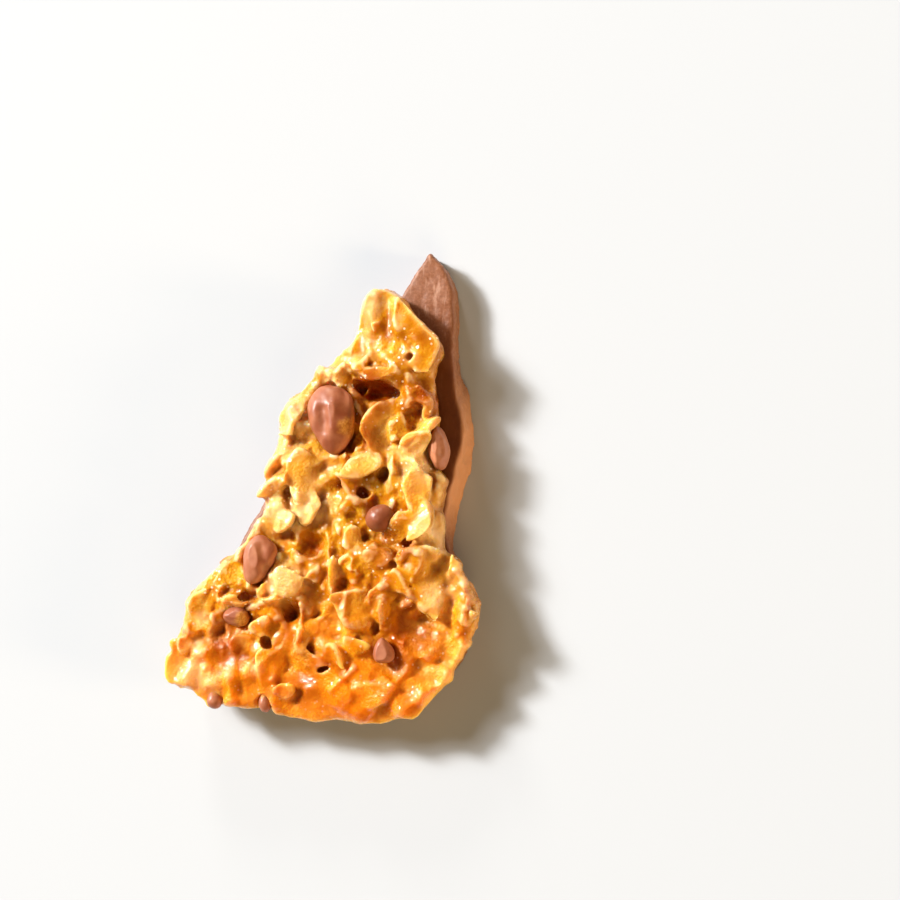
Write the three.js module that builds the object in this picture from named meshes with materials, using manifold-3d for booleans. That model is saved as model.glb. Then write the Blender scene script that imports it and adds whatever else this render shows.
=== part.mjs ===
// Almond florentine chocolate: one broken shard of florentine bark, lying on its chocolate side.
// A milk chocolate plate carries a bumpy layer of caramel and sliced almonds, and chocolate
// drops sit in the caramel. Millimetres. +Z points up out of the almond face, +Y runs to the
// pointed end, and the origin is under the middle of the shard, on the surface it lies on.

import * as THREE from 'three';
import { mergeVertices } from 'three/addons/utils/BufferGeometryUtils.js';
import { ImprovedNoise } from 'three/addons/math/ImprovedNoise.js';
import Module from 'manifold-3d';

const wasm = await Module();
wasm.setup();

// Chocolate plate
const PLATE_THICKNESS = 4.5;
const PLATE_EDGE_CHAMFER = 0.35;
const PLATE_BREAK_STEP = 2.6;      // spacing of the facets along a broken edge
const PLATE_BREAK_ROUGHNESS = 0.3;
const PLATE_SLANT = 1.1;           // how far the right-hand break slopes out towards the base
const PLATE_SLANT_Y = [-6, 16];    // the stretch of that break

// Florentine layer
const GAP = 0.3;                   // clearance between pieces that touch
const BED = PLATE_THICKNESS + GAP; // height of the florentine's underside
const CARAMEL_THICKNESS = 3.7;     // between the flakes, away from the lobes and the rim
const CARAMEL_MIN_THICKNESS = 1.6;
const CARAMEL_RIPPLE = 0.65;
const CARAMEL_RIPPLE_LENGTH = 5.5;
const RIM_SEGMENTS = 54;
const RING_COUNT = 9;
const HUB = [0, -7];               // every point of the rim can be seen from here

// Almond slices
const SLICE_SIDES = 7;
const SLICE_THICKNESS = 1;
const SCATTER_SPACING = 4.5;
const SCATTER_TURN = 45;           // most slices stand up on the side towards the upper left
const SCATTER_TURN_SPREAD = 150;
const SCATTER_RIM_MARGIN = 1.8;
const SLICE_OVERHANG = 0.6;        // how far a slice may stick out past the rim
const SMOOTH_LOBE_Y = 20;          // above this the caramel is thick and hides most slices

// Chocolate drops
const DROP_SEGMENTS = 12;
const DROP_RINGS = 7;
const HOLLOW_SEGMENTS = 8;
const HOLLOW_RINGS = 5;

const COLOURS = {
  chocolate: { color: 0x8a4a2c, roughness: 0.42, metalness: 0 },
  florentine: { color: 0xdf912f, roughness: 0.2, metalness: 0 },
  drop: { color: 0x8f4a2a, roughness: 0.34, metalness: 0 },
};

// The broken outline of the florentine, clockwise from the pointed end
const FLORENTINE_RIM = [
  [9.5, 31.5], [11.5, 31], [13.5, 28], [16, 25], [19, 21.5], [17.8, 19], [17, 17], [17.6, 14.5],
  [18, 11.5], [17.6, 8.5], [17.6, 4], [20, -0.5], [18.6, -2.2], [18.4, -4.2], [19, -6], [18.4, -9],
  [21, -11], [23, -15.5], [25, -19.5], [23, -22.5], [21.5, -26], [19.8, -29], [16.5, -33],
  [11.5, -35.4], [8, -36.1], [4.5, -36.2], [3, -35.2], [1, -36.1], [-2.5, -35.4], [-6, -35],
  [-9.5, -34], [-14, -33.4], [-17, -33.2], [-19.5, -33.3], [-20.5, -31.6], [-22.5, -29.8],
  [-25.5, -29.6], [-24.9, -24.7], [-23.3, -20.2], [-23, -17.4], [-20.2, -14], [-17.5, -12],
  [-14.4, -9.2], [-11.6, -6], [-9.6, -1.5], [-9.6, 1.7], [-8.8, 5.5], [-8, 10], [-6, 11],
  [-4.5, 12.5], [-3.3, 16.4], [0, 19.4], [3, 21], [5.2, 24.7], [6, 28.6], [7.5, 31],
];

// The broken outline of the chocolate: its left side is one straight break up to the tip
const PLATE_RIM = [
  [15.8, 37.6], [18.3, 34.2], [19.4, 31.2], [19.5, 24.8], [19.4, 21.2], [19.8, 18], [20.3, 14],
  [20.8, 10.5], [21, 7], [20.2, 3], [18.9, -1], [18.2, -5], [18.8, -9.2], [20.4, -14],
  [22.6, -19.4], [20.6, -25], [16.6, -30.6], [10, -34], [1, -34.4], [-9, -32.4], [-18.6, -31.4],
  [-23, -28], [-23.6, -21.6], [-15, -8.2], [-4.8, 7], [4.6, 21], [11.8, 31.6],
];

// Swells of the caramel: x, y, spread, height. Negative ones are sunken or thin stretches.
const SWELLS = [
  [12, 25, 6.5, 1.7], [9, 18.6, 3.6, 1.7], [0, 16, 4, 0.6], [-2.8, 3, 3, 0.9], [14.5, 0, 4, 1.0],
  [5, -9, 6, 0.7], [13, -14, 3.5, 0.6], [7, 12.5, 2.6, -1.5], [13.5, -21, 3, -0.9],
  [19, -25, 7, -1.6], [2, -33.5, 8, -0.9], [-20, -26, 5, -1.1], [-18.5, -19, 2.6, -0.6],
  [-8, -30, 5, -0.5], [-9, 8, 4, -0.7],
];

// Chocolate drops: x, y, height of the middle, size across, along and up, turn in degrees, and
// how far the drop narrows towards its upper end, or with a minus its lower end
const DROPS = [
  [1.6, 10.6, 9.3, 9.2, 11.4, 6.2, 8, -0.34],
  [18.1, 5.8, 7.8, 3.7, 7.4, 4.8, 4, 0.2],
  [9.4, -4.9, 9.6, 4.9, 4.4, 4.0, 0, 0.1],
  [-10.2, -10.8, 9.2, 6.6, 8.1, 5.0, -18, -0.35],
  [-13.7, -19.4, 8.6, 4.6, 3.4, 3.2, -12, 0.1],
  [-17.6, -32, 7.2, 3.0, 3.0, 2.8, 0, 0.3],
  [-9.5, -32.6, 7.0, 2.4, 3.2, 2.8, 10, 0.3],
  [9.7, -25, 8.7, 3.4, 3.8, 3.2, 4, 0.75],
];

// Holes and hollows between the slices: x, y, size across, along and deep, turn in degrees
const HOLLOWS = [
  [8.4, 14.8, 8.0, 3.4, 5.2, -6], [-1.8, -8.4, 4.8, 3.6, 4.4, 20], [-5, -19.2, 3.0, 3.2, 5.2, 0],
  [-11.8, -16.3, 3.6, 1.9, 3.8, 10], [6.4, -0.8, 2.6, 2.2, 3.6, -30], [3, 0.4, 1.5, 1.8, 2.6, 0],
  [14, 19.8, 1.5, 1.5, 2.6, 0], [18.6, -3.4, 2.6, 2.5, 4.6, 0], [9.6, 1.7, 2.3, 2.9, 3.0, -20],
  [2.9, -14.9, 2.2, 2.2, 3.0, 40], [3.2, -10.1, 1.1, 1.1, 2.2, 0],
  [-16.5, -21.5, 2.2, 3.4, 2.6, -20],
];

// The slices that stand out: x, y, length, width, turn, tip up, side up in degrees, lift, cup
const LARGE_SLICES = [
  [8.7, 9.2, 8.6, 5.8, 84, 10, 26, 0.4, 0.9],
  [8.6, 18, 8.8, 4.2, -6, 2, -18, 0.5, -0.5],
  [6.6, 3, 7.2, 3.8, 24, -10, -8, 0.6, -0.3],
  [2.9, 1.8, 6.2, 2.6, -52, 4, 56, 0.2, 0.2],
  [-3.0, 2.6, 9.4, 4.8, 84, 3, 16, 0.4, -1.3],
  [14.4, 0.4, 10.8, 6.4, 100, 4, -22, 0.4, 1.2],
  [15.4, -5.6, 7.8, 5.0, 66, -8, -16, 0.3, 0.7],
  [13.0, -6.6, 6.6, 4.2, 20, 8, 20, 0.2, 0.5],
  [15.4, 7.4, 8.2, 4.2, 38, 4, -36, 0.3, 0.7],
  [-6.9, 4.6, 7.4, 3.0, 38, 4, 42, 0.2, 0.3],
  [-7.4, 0.6, 6.8, 3.2, 30, 2, 36, 0.2, 0.3],
  [-5.2, -14, 7.2, 5.0, 50, 4, 8, 0.7, -0.4],
  [14.4, -11.4, 4.8, 4.6, 20, 8, 10, 0.3, 0.8],
  [17, -17.6, 7.2, 5.0, -66, 4, -16, 0.4, -0.5],
  [5.2, -24, 5.6, 2.8, -8, 6, 22, 0.5, -0.3],
  [2.6, -25.6, 5.0, 2.2, -58, 4, 30, 0.4, 0.2],
  [5.2, -18.4, 7.6, 6.0, 156, 17, 8, 0.5, -0.5],
  [9.4, -10.6, 5.6, 4.2, 30, 4, -12, 0.4, -0.2],
  [12.2, -14.6, 6.8, 3.4, -44, 2, 26, 0.3, 0.3],
  [9.7, -18.6, 5.6, 3.8, 82, 2, 50, 0.1, 0.6],
  [-14.2, -16.9, 7.0, 3.2, 12, 4, 32, 0.3, 0.7],
  [-19.4, -17, 6.4, 4.0, 52, 4, 14, 0.2, 0.5],
  [-5.2, 12.0, 5.8, 3.6, 44, -6, 20, 0.2, 0.3],
  [1.5, -30.4, 8.6, 4.8, -34, 3, 14, 0.1, -0.4],
  [8.4, -31, 8.0, 4.8, 24, 4, -12, 0.1, -0.4],
  [-8.4, -27.6, 8.0, 4.4, 62, 4, 18, 0.2, 0.5],
  [19.6, -23.2, 7.4, 4.2, -62, 3, -12, 0.1, -0.4],
];

const noise = new ImprovedNoise();

// Seeded draws from 0 to 1, the same on every run
function seededDraw(seed) {
  let state = seed >>> 0;
  return () => {
    state = (state + 0x6d2b79f5) >>> 0;
    let mixed = Math.imul(state ^ (state >>> 15), 1 | state);
    mixed = (mixed + Math.imul(mixed ^ (mixed >>> 7), 61 | mixed)) ^ mixed;
    return ((mixed ^ (mixed >>> 14)) >>> 0) / 4294967296;
  };
}

function ripple(x, y, length, layer) {
  return noise.noise(x / length, y / length, layer);
}

function toSolid(geometry) {
  geometry.deleteAttribute('normal');
  geometry.deleteAttribute('uv');
  const merged = mergeVertices(geometry, 1e-4);
  const mesh = new wasm.Mesh({
    numProp: 3,
    vertProperties: new Float32Array(merged.attributes.position.array),
    triVerts: new Uint32Array(merged.index.array),
  });
  return new wasm.Manifold(mesh);
}

function toGeometry(solid) {
  const mesh = solid.getMesh();
  const geometry = new THREE.BufferGeometry();
  geometry.setAttribute('position', new THREE.BufferAttribute(mesh.vertProperties, 3));
  geometry.setIndex(new THREE.BufferAttribute(mesh.triVerts, 1));
  geometry.computeVertexNormals();
  return geometry;
}

// Largest connected piece: loose scraps and sealed hollows fall away
function largestPiece(solid) {
  const pieces = solid.decompose();
  return pieces.reduce((best, piece) => (piece.volume() > best.volume() ? piece : best));
}

function moveVertices(geometry, move) {
  const position = geometry.attributes.position;
  const point = new THREE.Vector3();
  for (let i = 0; i < position.count; i += 1) {
    point.fromBufferAttribute(position, i);
    move(point);
    position.setXYZ(i, point.x, point.y, point.z);
  }
  return geometry;
}

const rimCurve = new THREE.CatmullRomCurve3(
  FLORENTINE_RIM.map(([x, y]) => new THREE.Vector3(x, y, 0)), true, 'centripetal');
const rimPoints = rimCurve.getSpacedPoints(RIM_SEGMENTS);

function distanceToRim(x, y) {
  let nearest = Infinity;
  for (const point of rimPoints) nearest = Math.min(nearest, Math.hypot(point.x - x, point.y - y));
  return nearest;
}

function insideRim(x, y) {
  let inside = false;
  for (let i = 0; i < RIM_SEGMENTS; i += 1) {
    const a = rimPoints[i];
    const b = rimPoints[i + 1];
    const crosses = (a.y > y) !== (b.y > y);
    if (crosses && x < ((b.x - a.x) * (y - a.y)) / (b.y - a.y) + a.x) inside = !inside;
  }
  return inside;
}

// Top of the caramel, before slices and hollows
function caramelTop(x, y) {
  let thickness = CARAMEL_THICKNESS;
  for (const [sx, sy, spread, height] of SWELLS) {
    const reach = Math.hypot(x - sx, y - sy) / spread;
    thickness += height * Math.exp(-reach * reach);
  }
  thickness += CARAMEL_RIPPLE * 2 * ripple(x, y, CARAMEL_RIPPLE_LENGTH, 3.7);
  thickness += CARAMEL_RIPPLE * ripple(x, y, CARAMEL_RIPPLE_LENGTH / 2, 9.1);
  return BED + Math.max(thickness, CARAMEL_MIN_THICKNESS);
}

// A disc of rings between a hub and the rim, closed over a rounded edge
function caramelCore() {
  const profile = [];
  for (let ring = 0; ring < RING_COUNT; ring += 1) {
    profile.push(new THREE.Vector2(0.94 * Math.pow(ring / (RING_COUNT - 1), 0.85), 1));
  }
  profile.push(new THREE.Vector2(0.985, 0.72), new THREE.Vector2(1, 0.1));
  profile.push(new THREE.Vector2(0.985, -0.6), new THREE.Vector2(0.95, -1), new THREE.Vector2(0, -1));
  const disc = new THREE.LatheGeometry(profile, RIM_SEGMENTS);
  moveVertices(disc, (point) => {
    const share = Math.hypot(point.x, point.z);
    const level = (point.y + 1) / 2;
    const turn = (Math.atan2(point.x, point.z) / (2 * Math.PI) + 1) % 1;
    const rim = rimPoints[Math.round(turn * RIM_SEGMENTS) % RIM_SEGMENTS];
    const x = HUB[0] + (rim.x - HUB[0]) * share;
    const y = HUB[1] + (rim.y - HUB[1]) * share;
    point.set(x, y, BED + (caramelTop(x, y) - BED) * level);
  });
  return toSolid(disc);
}

// A thin irregular oval, pointed at one end and cupped across its width
function almondSlice(length, width, cup, draw) {
  const slice = new THREE.CylinderGeometry(0.5, 0.5, SLICE_THICKNESS, SLICE_SIDES, 1);
  slice.rotateX(Math.PI / 2);
  const uneven = Array.from({ length: SLICE_SIDES }, () => 0.86 + 0.24 * draw());
  moveVertices(slice, (point) => {
    const side = Math.round((Math.atan2(point.y, point.x) / (2 * Math.PI)) * SLICE_SIDES);
    const reach = uneven[(side + SLICE_SIDES) % SLICE_SIDES];
    const x = point.x * reach * length;
    const y = point.y * reach * width * (1 - 0.45 * Math.max(0, point.x));
    const across = (2 * y) / width;
    point.set(x, y, point.z + cup * across * across * 0.5);
  });
  return slice;
}

function placeSlice([x, y, length, width, turn, tipUp, sideUp, lift, cup], draw) {
  const slice = almondSlice(length, width, cup, draw);
  const angle = THREE.MathUtils.degToRad;
  slice.rotateX(angle(sideUp));
  slice.rotateY(angle(-tipUp));
  slice.rotateZ(angle(turn));
  slice.translate(x, y, caramelTop(x, y) + lift - SLICE_THICKNESS / 2);
  return toSolid(slice);
}

function nearDrop(x, y, margin) {
  return DROPS.some(([dx, dy, , across, along]) =>
    Math.hypot((x - dx) / (across / 2 + margin), (y - dy) / (along / 2 + margin)) < 1);
}

function nearLargeSlice(x, y) {
  return LARGE_SLICES.some(([sx, sy, length]) => Math.hypot(x - sx, y - sy) < length * 0.3);
}

function nearHollow(x, y) {
  return HOLLOWS.some(([hx, hy, across, along]) =>
    Math.hypot((x - hx) / (across / 2 + 0.8), (y - hy) / (along / 2 + 0.8)) < 1);
}

// Places for the rest of the slices, none nearer to another than the spacing
function scatteredSlices() {
  const draw = seededDraw(20);
  const slices = [];
  for (let attempt = 0; attempt < 5000; attempt += 1) {
    const x = THREE.MathUtils.lerp(-26, 26, draw());
    const y = THREE.MathUtils.lerp(-37, 33, draw());
    if (!insideRim(x, y) || distanceToRim(x, y) < SCATTER_RIM_MARGIN) continue;
    if (nearDrop(x, y, 0.9) || nearLargeSlice(x, y) || nearHollow(x, y)) continue;
    const spacing = y > SMOOTH_LOBE_Y ? SCATTER_SPACING * 1.35 : SCATTER_SPACING;
    if (slices.some(([px, py]) => Math.hypot(x - px, y - py) < spacing)) continue;
    const buried = y > SMOOTH_LOBE_Y || y < -29;
    const room = 2 * (distanceToRim(x, y) + SLICE_OVERHANG);
    const length = Math.min(4.4 + 3.4 * draw(), room);
    const width = Math.min(2.4 + 2.0 * draw(), room);
    const tipUp = (draw() - 0.5) * (buried ? 10 : 26);
    const sideUp = (buried ? 6 : 16) + (buried ? 10 : 24) * draw();
    const lift = (buried ? -0.1 : 0) + 0.4 * draw();
    const turn = SCATTER_TURN + SCATTER_TURN_SPREAD * (draw() - 0.5);
    slices.push([x, y, length, width, turn, tipUp, sideUp, lift, 1.4 * (draw() - 0.5)]);
  }
  return slices;
}

function dropSolid([x, y, z, across, along, up, turn, taper], index, clearance) {
  const ball = new THREE.SphereGeometry(0.5, DROP_SEGMENTS, DROP_RINGS);
  ball.rotateX(Math.PI / 2);
  moveVertices(ball, (point) => {
    const dent = 1 + 0.1 * noise.noise(point.x * 2.6 + index, point.y * 2.6, point.z * 2.6 + 5);
    const narrow = 1 - Math.abs(taper) * (0.5 + Math.sign(taper) * point.y);
    point.x *= across * dent * narrow + 2 * clearance;
    point.y *= along * dent + 2 * clearance;
    point.z *= up * dent * (0.4 + 0.6 * narrow) + 2 * clearance;
  });
  ball.rotateZ(THREE.MathUtils.degToRad(turn));
  ball.translate(x, y, z);
  return toSolid(ball);
}

function hollowSolid([x, y, across, along, deep, turn]) {
  const ball = new THREE.SphereGeometry(0.5, HOLLOW_SEGMENTS, HOLLOW_RINGS);
  ball.scale(across, along, deep);
  ball.rotateZ(THREE.MathUtils.degToRad(turn));
  const floor = BED + 1;
  ball.translate(x, y, Math.max(caramelTop(x, y), floor + deep / 2));
  return toSolid(ball);
}

function florentine() {
  const draw = seededDraw(7);
  let layer = caramelCore();
  for (const slice of [...LARGE_SLICES, ...scatteredSlices()]) {
    layer = layer.add(placeSlice(slice, draw));
  }
  for (const hollow of HOLLOWS) layer = layer.subtract(hollowSolid(hollow));
  DROPS.forEach((drop, index) => {
    layer = layer.subtract(dropSolid(drop, index, GAP));
  });
  const below = toSolid(new THREE.BoxGeometry(120, 120, 20).translate(0, 0, BED - 10));
  return toGeometry(largestPiece(layer.subtract(below)));
}

// The plate's outline with its broken edges split into short uneven facets
function brokenOutline() {
  const outline = [];
  PLATE_RIM.forEach(([x, y], index) => {
    const [nextX, nextY] = PLATE_RIM[(index + 1) % PLATE_RIM.length];
    const length = Math.hypot(nextX - x, nextY - y);
    const facets = Math.max(1, Math.round(length / PLATE_BREAK_STEP));
    for (let facet = 0; facet < facets; facet += 1) {
      const share = facet / facets;
      const px = x + (nextX - x) * share;
      const py = y + (nextY - y) * share;
      const push = facet ? PLATE_BREAK_ROUGHNESS * ripple(px, py, 1.9, 2.3) : 0;
      outline.push(new THREE.Vector2(
        px + (push * (nextY - y)) / length, py - (push * (nextX - x)) / length));
    }
  });
  return outline;
}

function chocolatePlate() {
  const shape = new THREE.Shape(brokenOutline());
  const slab = new THREE.ExtrudeGeometry(shape, {
    depth: PLATE_THICKNESS - 2 * PLATE_EDGE_CHAMFER,
    steps: 3,
    bevelEnabled: true,
    bevelThickness: PLATE_EDGE_CHAMFER,
    bevelSize: PLATE_EDGE_CHAMFER,
    bevelOffset: -PLATE_EDGE_CHAMFER,
    bevelSegments: 1,
  });
  slab.translate(0, 0, PLATE_EDGE_CHAMFER);
  moveVertices(slab, (point) => {
    const wander = 0.5 * noise.noise(point.x / 3.1, point.y / 3.1, point.z / 2.2 + 8);
    const out = Math.hypot(point.x, point.y);
    point.x += (wander * point.x) / out;
    point.y += (wander * point.y) / out;
    const slants = point.x > 15 && point.y > PLATE_SLANT_Y[0] && point.y < PLATE_SLANT_Y[1];
    if (slants) point.x += PLATE_SLANT * (1 - point.z / PLATE_THICKNESS);
  });
  return toGeometry(toSolid(slab));
}

function subPart(name, geometry, finish) {
  const mesh = new THREE.Mesh(geometry, new THREE.MeshStandardMaterial(finish));
  mesh.name = name;
  return mesh;
}

const shard = new THREE.Group();
shard.add(subPart('chocolate_plate', chocolatePlate(), COLOURS.chocolate));
shard.add(subPart('florentine', florentine(), COLOURS.florentine));
DROPS.forEach((drop, index) => {
  const geometry = toGeometry(dropSolid(drop, index, 0));
  shard.add(subPart(`chocolate_drop_${index + 1}`, geometry, COLOURS.drop));
});

// Move the shard so that the middle of its footprint is over the origin
const extent = new THREE.Box3().setFromObject(shard);
const middle = extent.getCenter(new THREE.Vector3());
shard.position.set(-middle.x, -middle.y, -extent.min.z);

export default shard;
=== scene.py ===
# Almond florentine chocolate: a broken shard lying on its chocolate side.
# A cast milk chocolate plate carries cooked caramel full of sliced almonds, with chocolate
# drops pressed in. Lengths are metres, and MM turns the maker's millimetres into them.
import bmesh
import bpy
import math
import random
import numpy as np
from mathutils import Matrix, Vector, noise
from mathutils.bvhtree import BVHTree
from mathutils.kdtree import KDTree


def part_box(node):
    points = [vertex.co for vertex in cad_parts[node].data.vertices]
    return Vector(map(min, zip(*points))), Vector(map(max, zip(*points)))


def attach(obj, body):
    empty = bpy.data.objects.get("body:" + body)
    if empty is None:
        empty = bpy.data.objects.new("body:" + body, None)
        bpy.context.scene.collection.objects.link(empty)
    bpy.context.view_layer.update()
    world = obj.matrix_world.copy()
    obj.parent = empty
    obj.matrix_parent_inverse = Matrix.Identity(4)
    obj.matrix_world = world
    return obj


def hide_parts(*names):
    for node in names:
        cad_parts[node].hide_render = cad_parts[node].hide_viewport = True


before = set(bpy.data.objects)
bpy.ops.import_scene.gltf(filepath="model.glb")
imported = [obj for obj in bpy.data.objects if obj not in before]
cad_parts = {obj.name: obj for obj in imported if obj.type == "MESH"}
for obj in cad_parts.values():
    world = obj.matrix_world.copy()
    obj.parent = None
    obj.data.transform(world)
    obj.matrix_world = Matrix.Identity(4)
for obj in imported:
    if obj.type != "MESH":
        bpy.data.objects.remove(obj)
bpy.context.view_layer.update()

MM = 0.001

# The photograph's frame in pixels, and the camera's sensor and lens in millimetres
FRAME_PX = 900
SENSOR = 36.0
LENS = 85.0

# The shard's middle is at this pixel there, at this many pixels a millimetre, and the camera
# stands this far to its right and below it
SHARD_PX = (324.5, 489.0)
PX_PER_MM = 6.5
VIEW_RIGHT = math.radians(14)
VIEW_DOWN = math.radians(9)

# The maker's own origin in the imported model. Places below are millimetres from it.
ORIGIN = Vector((0.46, -0.63, 0.0)) * MM
SHARD_MIDDLE = ORIGIN + Vector((0, 0, 8)) * MM

# The slices that stand out: x, y, length, width, turn, tip up, side up in degrees, lift, cup
LARGE_SLICES = [
    (8.7, 9.2, 8.6, 5.8, 84, 10, 26, 0.4, 0.9),
    (6.6, 3.0, 7.2, 3.8, 24, -10, -8, 0.6, -0.3),
    (2.9, 1.8, 6.2, 2.6, -52, 4, 56, 0.2, 0.2),
    (-3.0, 2.6, 9.4, 4.8, 84, 3, 16, 0.4, -1.3),
    (15.0, 0.4, 10.4, 5.2, 98, 4, 16, 0.2, 0.8),
    (15.4, -5.6, 7.8, 5.0, 66, -8, -16, 0.3, 0.7),
    (13.0, -6.6, 6.6, 4.2, 20, 8, 20, 0.2, 0.5),
    (15.4, 7.4, 8.2, 4.2, 38, 4, -36, 0.3, 0.7),
    (-6.9, 4.6, 7.4, 3.0, 38, 4, 42, 0.2, 0.3),
    (-7.4, 0.6, 6.8, 3.2, 30, 2, 36, 0.2, 0.3),
    (-5.2, -14.0, 7.2, 5.0, 50, 4, 8, 0.7, -0.4),
    (14.4, -11.4, 4.8, 4.6, 20, 8, 10, 0.3, 0.8),
    (17.0, -17.6, 7.2, 5.0, -66, 4, -16, 0.4, -0.5),
    (5.2, -24, 5.6, 2.8, -8, 6, 22, 0.5, -0.3),
    (2.6, -25.6, 5.0, 2.2, -58, 4, 30, 0.4, 0.2),
    (5.2, -18.4, 7.6, 6.0, 156, 17, 8, 0.5, -0.5),
    (9.4, -10.6, 5.6, 4.2, 30, 4, -12, 0.4, -0.2),
    (12.2, -14.6, 6.8, 3.4, -44, 2, 26, 0.3, 0.3),
    (9.4, -19.0, 5.0, 2.2, 82, 2, 50, 0.1, 0.3),
    (-14.2, -16.9, 7.0, 3.2, 12, 4, 32, 0.3, 0.7),
    (-19.4, -17.0, 6.4, 4.0, 52, 4, 14, 0.2, 0.5),
    (-4.6, 12.0, 5.8, 3.8, 60, -6, -18, 0.4, -0.3),
    (1.5, -30.4, 8.6, 4.8, -34, 3, 14, 0.1, -0.4),
    (8.4, -31.0, 8.0, 4.8, 24, 4, -12, 0.1, -0.4),
    (-8.4, -27.6, 8.0, 4.4, 62, 4, 18, 0.2, 0.5),
    (16.8, 21.9, 5.6, 3.6, -10, -2, 6, 0.1, 0.2),
    (-23.3, -26.6, 7.0, 4.6, 238, -2, 0, 0.1, 0.1),
    (-21.0, -28.6, 6.0, 3.0, 200, -2, 0, 0.1, 0.1),
]

# Thinner slices that the photograph shows between those, given by the same measures
THIN_SLICES = [
    (15.3, 6.4, 6.8, 3.8, 32, 4, 22, 0.5, 0.5), (-1.6, -3.2, 5.8, 4.0, 70, 2, -18, 0.6, -0.5),
    (-2.8, -17.9, 3.4, 1.6, 100, 6, 30, 0.3, 0.0), (-2.1, -25.8, 5.5, 3.1, -20, 4, 14, 0.4, 0.4),
    (1.9, -12.5, 7.7, 2.2, 86, 3, 34, 0.5, 0.4),
    (7.6, -10.7, 3.4, 2.2, 20, 4, 12, 0.5, 0.2), (8.4, -16.6, 4.0, 2.2, 70, 4, 20, 0.4, 0.3),
    (11.8, 8.8, 6.2, 4.0, 80, 5, 12, 0.3, 0.6), (-9.3, -25.4, 4.0, 2.5, 70, 5, 24, 0.3, 0.3),
    (-17.1, -21.2, 4.6, 2.8, 40, 6, 20, 0.4, 0.4), (-5.8, -30.8, 4.6, 2.8, 20, 4, 14, 0.3, 0.2),
    (-1.4, -13.4, 3.7, 2.2, 60, 5, 22, 0.4, 0.3), (4.9, -7.4, 5.2, 3.1, 70, 4, 18, 0.4, -0.4),
    (12.5, -5.3, 4.6, 3.1, 20, 4, 14, 0.3, 0.4), (-5.5, 9.4, 4.0, 2.5, 50, 6, -16, 0.4, 0.2),
    (-5.6, -4.6, 5.0, 3.6, 50, 4, -18, 0.6, -0.4), (2.8, 17.4, 4.6, 2.2, 65, 4, 28, 0.3, 0.2),
    (15.2, 13.8, 3.7, 2.5, 80, 4, 16, 0.3, 0.2), (16.9, -5.5, 4.6, 2.2, 70, 4, 16, 0.3, 0.3),
    (7.9, -30.9, 6.8, 3.7, 10, 3, 12, 0.0, 0.4),
]

# Thin caramel that broke off straight, past the rounded mass: lift, then the corners' x, y
BROKEN_SHEETS = [
    (0.1, [(12.0, 29.3), (18.9, 21.6), (17.0, 16.8), (14.8, 17.2), (13.0, 21.4), (11.2, 25.6)]),
    (-0.3, [(-21.8, -17.6), (-24.4, -29.6), (-23.4, -30.4), (-22.4, -29.9), (-21.3, -30.4),
            (-20.5, -31.6), (-19.4, -31.9), (-18.7, -33.4), (-16.4, -31.4), (-19.4, -27.6),
            (-20.0, -20.0)]),
]
SHEET_THICKNESS = 0.7
SHEET_TONE = 0.3                 # how pale the almond in it is, from 0 to 1

# Hollows that stay open: x, y, height of the middle, size across, along and deep, turn
HOLLOWS = [
    (9.2, 14.5, 9.0, 6.4, 2.9, 7.4, -4), (6.0, 15.5, 9.2, 3.8, 2.0, 6.4, -24),
    (-1.6, -8.6, 9.2, 3.6, 3.2, 5.0, 20),
    (-5.0, -19.2, 8.8, 2.9, 3.1, 5.4, 0), (-11.8, -16.3, 8.8, 3.4, 1.8, 3.8, 10),
    (6.4, -0.8, 9.2, 2.6, 1.9, 4.2, -40), (2.6, 0.6, 9.2, 1.5, 1.9, 3.6, 0),
    (14.0, 19.8, 9.9, 1.4, 1.4, 2.0, 0), (18.6, -3.4, 8.0, 1.9, 2.3, 4.6, 0),
    (9.7, 1.7, 9.2, 2.0, 2.9, 3.4, -20), (2.8, -14.9, 9.2, 2.0, 2.0, 3.2, 40),
    (3.2, -10.1, 9.4, 1.0, 1.0, 2.6, 0), (-16.5, -21.5, 8.4, 1.8, 3.0, 2.8, -20),
    (13.6, -9.4, 9.2, 1.6, 2.4, 3.0, 30), (0.2, -27.6, 8.2, 2.2, 1.3, 2.6, 15),
    (-9.0, -23.6, 8.4, 1.6, 2.4, 3.0, 25), (8.2, -21.6, 8.8, 1.6, 3.0, 3.0, -10),
]
HOLLOW_UNEVEN = 0.22             # how far a hollow strays from round
HOLLOW_LUMP = 0.35

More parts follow.
